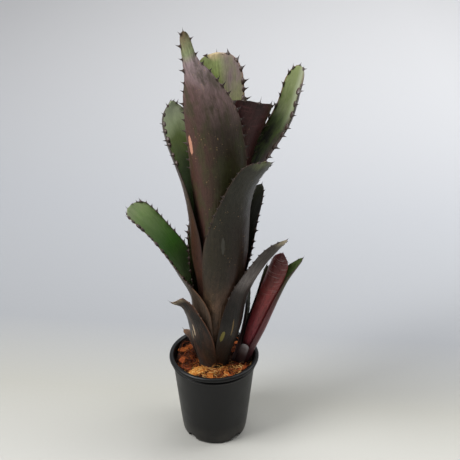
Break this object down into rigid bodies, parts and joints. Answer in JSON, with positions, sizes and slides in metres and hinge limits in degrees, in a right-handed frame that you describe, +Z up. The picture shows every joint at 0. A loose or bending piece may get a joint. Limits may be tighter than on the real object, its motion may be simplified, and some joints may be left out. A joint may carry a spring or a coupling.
{
  "type": "potted bromeliad",
  "caption": "Tall tube-forming bromeliad with spiny strap leaves and a red offset, growing in coconut husk in a round black nursery pot.",
  "frame": {"origin": "below the middle of the whole object's box, on the surface that the pot stands on; the pot's axis is 3.3 mm to -X of it", "axes": "+Z up along the pot's axis; -Y is the front, the side that the picture shows; +X is the side that the offset grows on"},
  "size_m": [0.195, 0.105, 0.5052],
  "materials": {
    "pot_plastic": "moulded, slightly scuffed satin black",
    "coir": "shredded coconut husk and fibre, matte",
    "husk": "coconut husk chips, matte, orange to brown",
    "stem_tissue": "woody plant stem, matte",
    "leaf_purple": "leathery leaf, purple-brown back with fine pale scales, satin",
    "leaf_bronze": "leathery leaf, grey-green to brown back, satin",
    "leaf_green": "leathery leaf, green upper face with grey sheen, satin",
    "leaf_red": "leathery young leaf, maroon back with faint pale bands, satin",
    "leaf_dry": "dried leaf tissue, matte tan-brown"
  },
  "bodies": {
    "root": {"husk_chip_back": "husk", "husk_chip_far_right": "husk", "husk_chip_front": "husk", "husk_chip_front_left": "husk", "husk_chip_front_right": "husk", "husk_chip_golden": "husk", "husk_chip_left": "husk", "husk_chip_red": "husk", "husk_chip_right": "husk", "leaf_back_left": "leaf_bronze", "leaf_back_right": "leaf_bronze", "leaf_back_tall": "leaf_green", "leaf_dried": "leaf_dry", "leaf_front_inner": "leaf_purple", "leaf_front_right": "leaf_bronze", "leaf_front_tall": "leaf_purple", "leaf_heart": "leaf_green", "leaf_left_low": "leaf_green", "leaf_left_tall": "leaf_green", "leaf_outer_left": "leaf_purple", "leaf_right_low": "leaf_purple", "leaf_right_tall": "leaf_green", "pot": "pot_plastic", "pup_leaf_back": "leaf_purple", "pup_leaf_dark": "leaf_purple", "pup_leaf_green": "leaf_green", "pup_leaf_red": "leaf_red", "pup_scale": "leaf_dry", "pup_stem": "stem_tissue", "stem": "stem_tissue", "stolon": "stem_tissue", "substrate": "coir"}
  },
  "joints": []
}
